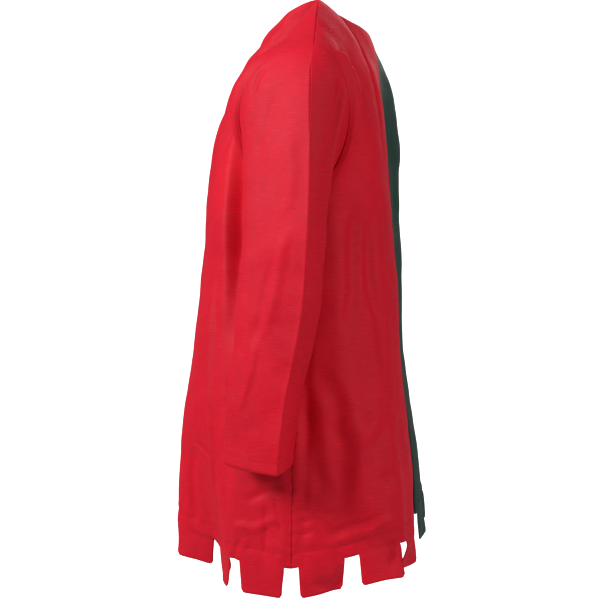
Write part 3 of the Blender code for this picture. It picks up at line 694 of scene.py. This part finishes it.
def weave_group():
    """Node group: plain weave with uneven threads, the stitches of seams and hem, and painted shade along the
    seams.
    """
    group = bpy.data.node_groups.new("plain weave", "ShaderNodeTree")
    for label, kind, value in (
        ("Dye", "NodeSocketColor", (1, 1, 1, 1)),
        ("Slub", "NodeSocketFloat", 0.2),
        ("Thread", "NodeSocketFloat", 0.0009),
    ):
        socket = group.interface.new_socket(label, in_out="INPUT", socket_type=kind)
        socket.default_value = value
    group.interface.new_socket("Colour", in_out="OUTPUT", socket_type="NodeSocketColor")
    group.interface.new_socket("Roughness", in_out="OUTPUT", socket_type="NodeSocketFloat")
    group.interface.new_socket("Height", in_out="OUTPUT", socket_type="NodeSocketFloat")
    nodes, links = group.nodes, group.links
    enter = nodes.new("NodeGroupInput")
    leave = nodes.new("NodeGroupOutput")

    def math_node(kind, *values, clamp=False):
        node = nodes.new("ShaderNodeMath")
        node.operation = kind
        node.use_clamp = clamp
        for index, value in enumerate(values):
            if isinstance(value, (int, float)):
                node.inputs[index].default_value = value
            else:
                links.new(value, node.inputs[index])
        return node.outputs[0]

    uv = nodes.new("ShaderNodeUVMap")
    uv.uv_map = "cut"
    split = nodes.new("ShaderNodeSeparateXYZ")
    links.new(uv.outputs[0], split.inputs[0])
    u, v = split.outputs[0], split.outputs[1]

    def streaks(streak):
        stretch = nodes.new("ShaderNodeVectorMath")
        stretch.operation = "MULTIPLY"
        stretch.inputs[1].default_value = (streak.across, streak.down, 1)
        links.new(uv.outputs[0], stretch.inputs[0])
        texture = nodes.new("ShaderNodeTexNoise")
        texture.noise_dimensions = "2D"
        texture.inputs["Scale"].default_value = 1.0
        texture.inputs["Detail"].default_value = streak.detail
        links.new(stretch.outputs[0], texture.inputs["Vector"])
        step = nodes.new("ShaderNodeMapRange")
        step.interpolation_type = "SMOOTHSTEP"
        step.inputs["From Min"].default_value = streak.low
        step.inputs["From Max"].default_value = streak.high
        links.new(texture.outputs["Fac"], step.inputs["Value"])
        return step.outputs[0]

    turns = math_node("DIVIDE", math.pi, enter.outputs["Thread"])
    warp = math_node("SINE", math_node("MULTIPLY", u, turns))
    weft = math_node("SINE", math_node("MULTIPLY", v, turns))
    cross = math_node("MULTIPLY", warp, weft)
    bump = math_node("ABSOLUTE", cross)
    slubs, thin, upright, cloud = (streaks(kind) for kind in (SLUBS, THIN_PLACES, UPRIGHT_THREADS, CLOUDS))
    tone = math_node("MULTIPLY", math_node("SUBTRACT", slubs, thin), enter.outputs["Slub"])
    tone = math_node("ADD", tone, math_node("MULTIPLY", upright, UPRIGHT_TONE))
    tone = math_node("ADD", tone, math_node("MULTIPLY", math_node("SUBTRACT", cloud, 0.5), CLOUD_TONE))
    tone = math_node("ADD", tone, math_node("MULTIPLY", cross, CROSSING_TONE))
    hem = nodes.new("ShaderNodeAttribute")
    hem.attribute_name = "hem"
    seam = nodes.new("ShaderNodeAttribute")
    seam.attribute_name = "seam"
    on_line = math_node("LESS_THAN", math_node("ABSOLUTE", hem.outputs["Fac"]), STITCH_HALF_WIDTH)
    dash = math_node("LESS_THAN", math_node("FRACT", math_node("MULTIPLY", u, STITCHES_PER_METRE)), STITCH_SHARE)
    stitch = math_node("MULTIPLY", on_line, dash)
    # Painted shade: the dye darkens towards each seam line, in place of the shade that falls in its groove
    from_seam = math_node("DIVIDE", seam.outputs["Fac"], SEAM_SHADE_WIDTH, clamp=True)
    seam_shade = math_node("SUBTRACT", 1.0, from_seam, clamp=True)
    tone = math_node("SUBTRACT", tone, math_node("MULTIPLY", stitch, STITCH_TONE))
    tone = math_node("SUBTRACT", tone, math_node("MULTIPLY", seam_shade, SEAM_SHADE_TONE))
    scale = math_node("ADD", 1.0, tone)
    colour = nodes.new("ShaderNodeVectorMath")
    colour.operation = "SCALE"
    links.new(enter.outputs["Dye"], colour.inputs[0])
    links.new(scale, colour.inputs["Scale"])
    links.new(colour.outputs[0], leave.inputs["Colour"])
    shine = math_node("MULTIPLY", slubs, SLUB_SHINE)
    links.new(math_node("SUBTRACT", CLOTH_ROUGHNESS, shine), leave.inputs["Roughness"])
    height = math_node("ADD", math_node("MULTIPLY", bump, 0.6), math_node("MULTIPLY", slubs, 0.5))
    height = math_node("SUBTRACT", height, math_node("MULTIPLY", stitch, 0.8))
    links.new(height, leave.inputs["Height"])
    return group


WEAVE = weave_group()
RED_DYE = (0.66, 0.010, 0.040, 1.0)
GREEN_DYE = (0.024, 0.096, 0.072, 1.0)
SLUB_TONE = 0.17
THREAD_RELIEF = 0.00018
RELIEF_STRENGTH = 0.8


def woven_cotton(name, dye, sheen):
    """Material of a dyed cotton cloth."""
    material = bpy.data.materials.new(name)
    material.use_nodes = True
    nodes, links = material.node_tree.nodes, material.node_tree.links
    shader = nodes["Principled BSDF"]
    weave = nodes.new("ShaderNodeGroup")
    weave.node_tree = WEAVE
    weave.inputs["Dye"].default_value = dye
    weave.inputs["Slub"].default_value = SLUB_TONE
    relief = nodes.new("ShaderNodeBump")
    relief.inputs["Distance"].default_value = THREAD_RELIEF
    relief.inputs["Strength"].default_value = RELIEF_STRENGTH
    links.new(weave.outputs["Height"], relief.inputs["Height"])
    links.new(relief.outputs[0], shader.inputs["Normal"])
    links.new(weave.outputs["Colour"], shader.inputs["Base Color"])
    links.new(weave.outputs["Roughness"], shader.inputs["Roughness"])
    shader.inputs["Specular IOR Level"].default_value = 0.52
    shader.inputs["Sheen Weight"].default_value = sheen
    shader.inputs["Sheen Roughness"].default_value = 0.45
    shader.inputs["Sheen Tint"].default_value = (1.0, 0.90, 0.86, 1.0)
    return material


red_cotton = woven_cotton("red cotton", RED_DYE, 0.04)
green_cotton = woven_cotton("green cotton", GREEN_DYE, 0.10)
HALVES = (("left", red_cotton, "red_cloth"), ("right", green_cotton, "green_cloth"))

for side, finish, slot in HALVES:
    for name in ("front", "back"):
        points, u, v, marks, gone = panel_grid(side, name)
        if side == "right":
            points[..., 0] *= -1
        cloth = cloth_sheet(name + "_" + side + "_cloth", points, u, v, marks, gone)
        cloth.data.materials.append(finish)
        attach(cloth, "root")
        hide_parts(name + "_" + side)

# The two sleeves: one piece of the same cotton each, closed by a seam under the arm and sewn to the
# dropped armhole. A pressed crease runs down the outer side, and the cuff is turned in once.

# Heights of the first ring and the cuff, and how the head leaves the armhole and reaches that ring
SLEEVE_RING_HEIGHT = -0.400
CUFF_HEIGHT = -0.690
CUFF_DIP = 0.011
HEAD_REACH = 0.12
HEAD_TURN = (0.0, 0.25)
UNDERARM_REACH = 0.035
UNDERARM_BUTT = (0.30, 0.85)
UNDERARM_GAP = 0.0009
ARMPIT_LIFT = (0.85, 1.0)
INWARD_STEPS = 5

# Rings of the arm's tube: the middle of each, and its half sizes outward and front to back
Ring = namedtuple("Ring", "height centre_x centre_y half_out half_deep")
SLEEVE_RINGS = (
    Ring(-0.400, 0.249, -0.028, 0.045, 0.059),
    Ring(-0.470, 0.251, -0.034, 0.043, 0.060),
    Ring(-0.530, 0.252, -0.042, 0.041, 0.057),
    Ring(-0.600, 0.253, -0.054, 0.038, 0.053),
    Ring(-0.701, 0.255, -0.064, 0.034, 0.050),
)

# One ring's outline in half sizes (out, back), from the pressed crease over the front to the crease again
SLEEVE_OUTLINE = (
    (1.06, 0.72),
    (0.68, -0.26),
    (0.12, -0.96),
    (-0.66, -0.80),
    (-0.98, -0.05),
    (-0.80, 0.70),
    (-0.10, 1.00),
    (0.62, 0.92),
    (1.06, 0.72),
)

# Paths of the sleeve's creases: round the arm from the crease over the front, 0, and back to it, 1;
# and along it from the armhole, 0, past the top of the arm's tube, 1, to the cuff, 2
SLEEVE_CREASES = {
    "left": (
        Crease("back_trough", 0.017, -0.0095, 1, ((0.84, 0.06), (0.81, 0.30), (0.81, 0.55), (0.80, 0.86))),
        Crease("cap_fold", 0.010, -0.0036, 1, ((0.12, 0.08), (0.16, 0.15), (0.18, 0.24))),
        Crease("cap_pull", 0.016, -0.0024, 1, ((0.10, 0.36), (0.15, 0.50), (0.22, 0.58))),
        Crease("front_ridge", 0.015, 0.0026, 1, ((0.09, 1.12), (0.115, 1.32), (0.15, 1.60))),
        Crease("front_groove", 0.014, -0.0018, 1, ((0.14, 1.20), (0.17, 1.42), (0.19, 1.62))),
        Crease("low_line", 0.010, 0.0028, 1, ((0.20, 1.50), (0.19, 1.68), (0.21, 1.86))),
        Crease("upper_line", 0.014, 0.0018, 1, ((0.08, 0.60), (0.07, 0.86), (0.09, 1.08))),
        Crease("elbow_a", 0.008, -0.0020, 1, ((0.90, 1.20), (0.82, 1.24), (0.72, 1.22))),
        Crease("elbow_b", 0.009, -0.0022, 1, ((0.91, 1.34), (0.80, 1.36), (0.70, 1.41))),
    ),
    "right": (
        Crease("back_trough", 0.015, -0.0070, 1, ((0.82, 0.10), (0.79, 0.38), (0.80, 0.66), (0.80, 0.90))),
        Crease("cap_fold", 0.011, -0.0024, 1, ((0.13, 0.10), (0.18, 0.18), (0.20, 0.28))),
        Crease("front_ridge", 0.014, 0.0022, 1, ((0.10, 1.05), (0.13, 1.30), (0.14, 1.55))),
        Crease("front_groove", 0.012, -0.0020, 1, ((0.16, 1.12), (0.18, 1.36), (0.20, 1.54))),
        Crease("low_line", 0.010, 0.0015, 1, ((0.17, 1.58), (0.18, 1.74), (0.16, 1.88))),
        Crease("elbow_a", 0.009, -0.0022, 1, ((0.90, 1.26), (0.80, 1.29), (0.70, 1.27))),
        Crease("elbow_b", 0.008, -0.0018, 1, ((0.91, 1.42), (0.81, 1.45), (0.73, 1.47))),
    ),
}


def unit(vectors):
    """The same directions with a length of 1."""
    return vectors / np.linalg.norm(vectors, axis=-1, keepdims=True)


def ring_place(share, height):
    """Place on the sleeve's ring at a height, a share of the way round from the crease."""
    out, back = along(curve_through(SLEEVE_OUTLINE), share)
    x = read(SLEEVE_RINGS, height, "centre_x") + out * read(SLEEVE_RINGS, height, "half_out")
    y = read(SLEEVE_RINGS, height, "centre_y") + back * read(SLEEVE_RINGS, height, "half_deep")
    return np.stack([x, y, height + 0 * x], -1), out


def armhole_edge(side, name, down):
    """Edge of the armhole and the direction in which the sleeve leaves it."""
    place = body_cloth(side, name, 1.0, down)
    before = body_cloth(side, name, 1.0, np.maximum(down - STEP, 0))
    after = body_cloth(side, name, 1.0, np.minimum(down + STEP, 1))
    run = unit(after - before)
    outward = place - body_cloth(side, name, 1 - INWARD_STEPS * STEP, down)
    outward = unit(outward - run * (outward * run).sum(-1, keepdims=True))
    lift = soft(*ARMPIT_LIFT, down)[..., None]
    return place, unit(outward * (1 - lift) + np.array([0.0, 0.0, 1.0]) * lift)


def sleeve_half(side, name, down, share, rows):
    """Places of the front or back half of a sleeve, one column for each place of the armhole."""
    start, outward = armhole_edge(side, name, down)
    tip_outward = armhole_edge(side, name, np.zeros(1))[1]
    turn = soft(*HEAD_TURN, down)[..., None]
    outward = unit(tip_outward * (1 - turn) + outward * turn)
    butt = soft(*UNDERARM_BUTT, down)[..., None]
    start = start + outward * (SEAM_GAP + WALL / 2 + UNDERARM_GAP * butt)
    end, crease_side = ring_place(share, np.full_like(share, SLEEVE_RING_HEIGHT))
    below = ring_place(share, np.full_like(share, SLEEVE_RING_HEIGHT - STEP))[0]
    end_pull = unit(below - end) * np.linalg.norm(end - start, axis=-1, keepdims=True)
    leave = unit(outward * (1 - butt) + np.array([1.0, 0.0, 0.0]) * butt)
    start_pull = leave * (UNDERARM_REACH + HEAD_REACH * (1 - down[..., None]) ** 3)
    places = []
    for row in rows:
        if row <= 1:
            places.append(bend(start, start_pull, end, end_pull, row))
        else:
            cuff = CUFF_HEIGHT - CUFF_DIP * np.maximum(crease_side, 0.0)
            height = SLEEVE_RING_HEIGHT + (cuff - SLEEVE_RING_HEIGHT) * (row - 1)
            places.append(ring_place(share, height)[0])
    return np.array(places)


# Cut of a sleeve, and its sewing: cloth turned in at the cuff, and the cuff's stitch line above its edge
SLEEVE_GRAIN = 1.15
CUFF_TURNING = 0.0025
CUFF_STITCHES = 0.016
CUFF_DIP_MARK = Mark(0.0022, 0.0004)
PRESSED_EDGE = Mark(0.0040, 0.0005)
PRESSED_START = (0.0, 0.15)
SLEEVE_WAVES = Waves(0.05, 0.0018)
SLEEVE_RIPPLE = Waves(0.022, 0.0006)
SLEEVE_SEEDS = {"left": 40.0, "right": 50.0}
LIFT_FROM_TOP = (0, 0.012)

# Rows from the armhole to the cuff, and columns of the front half, from the crease to under the arm
HEAD_ROWS = np.linspace(0.06, 1, 52)
TUBE_ROWS = np.linspace(1, 2, 86)[1:]
sleeve_rows = np.concatenate([[0.0, 0.002, 0.008, 0.02, 0.04], HEAD_ROWS, TUBE_ROWS])
half_down = np.concatenate([[0.0, 0.006, 0.014, 0.026], np.linspace(0.045, 1, 46)])

for side, finish, slot in HALVES:
    front = sleeve_half(side, "front", half_down, half_down / 2, sleeve_rows)
    back = sleeve_half(side, "back", half_down, 1 - half_down / 2, sleeve_rows)
    front[:, 0] = back[:, 0] = (front[:, 0] + back[:, 0]) / 2
    points = np.concatenate([front, back[:, ::-1][:, 1:]], axis=1)
    share = np.concatenate([half_down / 2, (1 - half_down / 2)[::-1][1:]])
    u, v = cut_lengths(points)
    across = np.repeat(share[None, :], len(points), axis=0)
    down = np.repeat(sleeve_rows[:, None], points.shape[1], axis=1)
    from_crease = np.minimum(u, u[:, -1:] - u)
    from_top = v
    from_stitches = v[-1:] - v - CUFF_STITCHES
    lift = crease_lift(SLEEVE_CREASES[side], across, down, u, v)
    seed = SLEEVE_SEEDS[side]
    broad = uneven(points, SLEEVE_WAVES.size, seed) * SLEEVE_WAVES.height
    fine = uneven(points, SLEEVE_RIPPLE.size, seed + SLEEVE_RIPPLE_SEED) * SLEEVE_RIPPLE.height
    lift += broad + fine
    lift += PRESSED_EDGE.height * band(from_crease, PRESSED_EDGE.width) * soft(*PRESSED_START, down)
    lift -= CUFF_DIP_MARK.height * band(from_stitches, CUFF_DIP_MARK.width)
    lift *= soft(*LIFT_FROM_TOP, from_top)
    normal = grid_normal(points)
    outward = points - points.mean(axis=1, keepdims=True)
    normal *= np.sign((normal * outward).sum())
    normal[:, 0] = normal[:, -1] = unit(normal[:, 0] + normal[:, -1])
    points = points + normal * lift[..., None]
    turned_top = points[:1] - normal[:1] * TURNING
    turned_cuff = points[-1:] - normal[-1:] * CUFF_TURNING
    u, v = SLEEVE_GRAIN * points[..., 1], -points[..., 2]
    points = np.concatenate([turned_top, points, turned_cuff], axis=0)
    grids = (u, v, from_top, from_stitches)
    u, v, seam, hem = (np.concatenate([grid[:1], grid, grid[-1:]], axis=0) for grid in grids)
    v[0] -= TURNING
    v[-1] += CUFF_TURNING
    if side == "right":
        points[..., 0] *= -1
    sleeve = cloth_sheet("sleeve_" + side + "_cloth", points, u, v, {"hem": hem, "seam": seam}, closed=True)
    sleeve.data.materials.append(finish)
    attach(sleeve, "root")
    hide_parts("sleeve_" + side)

# The studio: a pale floor under the worn height, soft light from the front left and a pale surround.
FLOOR_HEIGHT = -1.45
FLOOR_RADIUS = 1.25
PALE_PAINT = (0.85, 0.85, 0.85, 1)
floor_mesh = bmesh.new()
bmesh.ops.create_circle(floor_mesh, cap_ends=True, segments=96, radius=FLOOR_RADIUS)
for corner in floor_mesh.verts:
    corner.co.z = FLOOR_HEIGHT
floor_data = bpy.data.meshes.new("studio_floor")
floor_mesh.to_mesh(floor_data)
floor_mesh.free()
floor = add_object("studio_floor", floor_data)
floor_paint = bpy.data.materials.new("floor paint")
floor_paint.use_nodes = True
paint = floor_paint.node_tree.nodes["Principled BSDF"]
paint.inputs["Base Color"].default_value = PALE_PAINT
paint.inputs["Roughness"].default_value = 0.9
floor_data.materials.append(floor_paint)

# Lamps aimed at the garment's middle, placed by degrees from the front towards the wearer's left, and up
GARMENT_MIDDLE = Vector((0.0, 0.0, -0.42))
Lamp = namedtuple("Lamp", "name azimuth elevation distance size power")
LAMPS = (
    Lamp("key", 38, 28, 3.0, 0.9, 50),
    Lamp("fill", 148, 16, 3.2, 1.6, 27),
    Lamp("overhead", 90, 80, 2.6, 1.6, 3),
    Lamp("far side", 262, 30, 3.2, 1.6, 18),
)
for lamp in LAMPS:
    data = bpy.data.lights.new(lamp.name, "AREA")
    data.size = lamp.size
    data.energy = lamp.power
    light = add_object(lamp.name, data)
    turn, rise = math.radians(lamp.azimuth), math.radians(lamp.elevation)
    aim = Vector((math.sin(turn) * math.cos(rise), -math.cos(turn) * math.cos(rise), math.sin(rise)))
    light.location = GARMENT_MIDDLE + aim * lamp.distance
    light.rotation_euler = aim.to_track_quat("Z", "Y").to_euler()

# The surround: how strongly it lights the cloth, how bright it looks, and the tint of its light
SURROUND_LIGHT = 0.23
SURROUND_SEEN = 1.05
SURROUND_TINT = (1.0, 0.74, 0.80, 1)
world = bpy.data.worlds.new("pale surround")
world.use_nodes = True
bpy.context.scene.world = world
sky = world.node_tree.nodes["Background"]
seen = world.node_tree.nodes.new("ShaderNodeLightPath")
strength = world.node_tree.nodes.new("ShaderNodeMapRange")
strength.inputs["To Min"].default_value = SURROUND_LIGHT
strength.inputs["To Max"].default_value = SURROUND_SEEN
world.node_tree.links.new(seen.outputs["Is Camera Ray"], strength.inputs["Value"])
world.node_tree.links.new(strength.outputs[0], sky.inputs["Strength"])
tint = world.node_tree.nodes.new("ShaderNodeMix")
tint.data_type = "RGBA"
tint.inputs["A"].default_value = SURROUND_TINT
tint.inputs["B"].default_value = (1, 1, 1, 1)
world.node_tree.links.new(seen.outputs["Is Camera Ray"], tint.inputs["Factor"])
world.node_tree.links.new(tint.outputs["Result"], sky.inputs["Color"])

# The camera: level, on the wearer's left and a little behind
CAMERA_PLACE = (1.7727, 0.2666, -0.3753)
CAMERA_AZIMUTH = 100.0
camera_data = bpy.data.cameras.new("camera")
camera_data.lens = 65.65
camera_data.sensor_width = 36.0
camera_data.shift_y = -0.1
camera = add_object("camera", camera_data)
camera.location = CAMERA_PLACE
camera.rotation_euler = (math.radians(90), 0, math.radians(CAMERA_AZIMUTH))
bpy.context.scene.camera = camera
bpy.context.scene.view_settings.view_transform = "Standard"
bpy.context.scene.view_settings.look = "High Contrast"
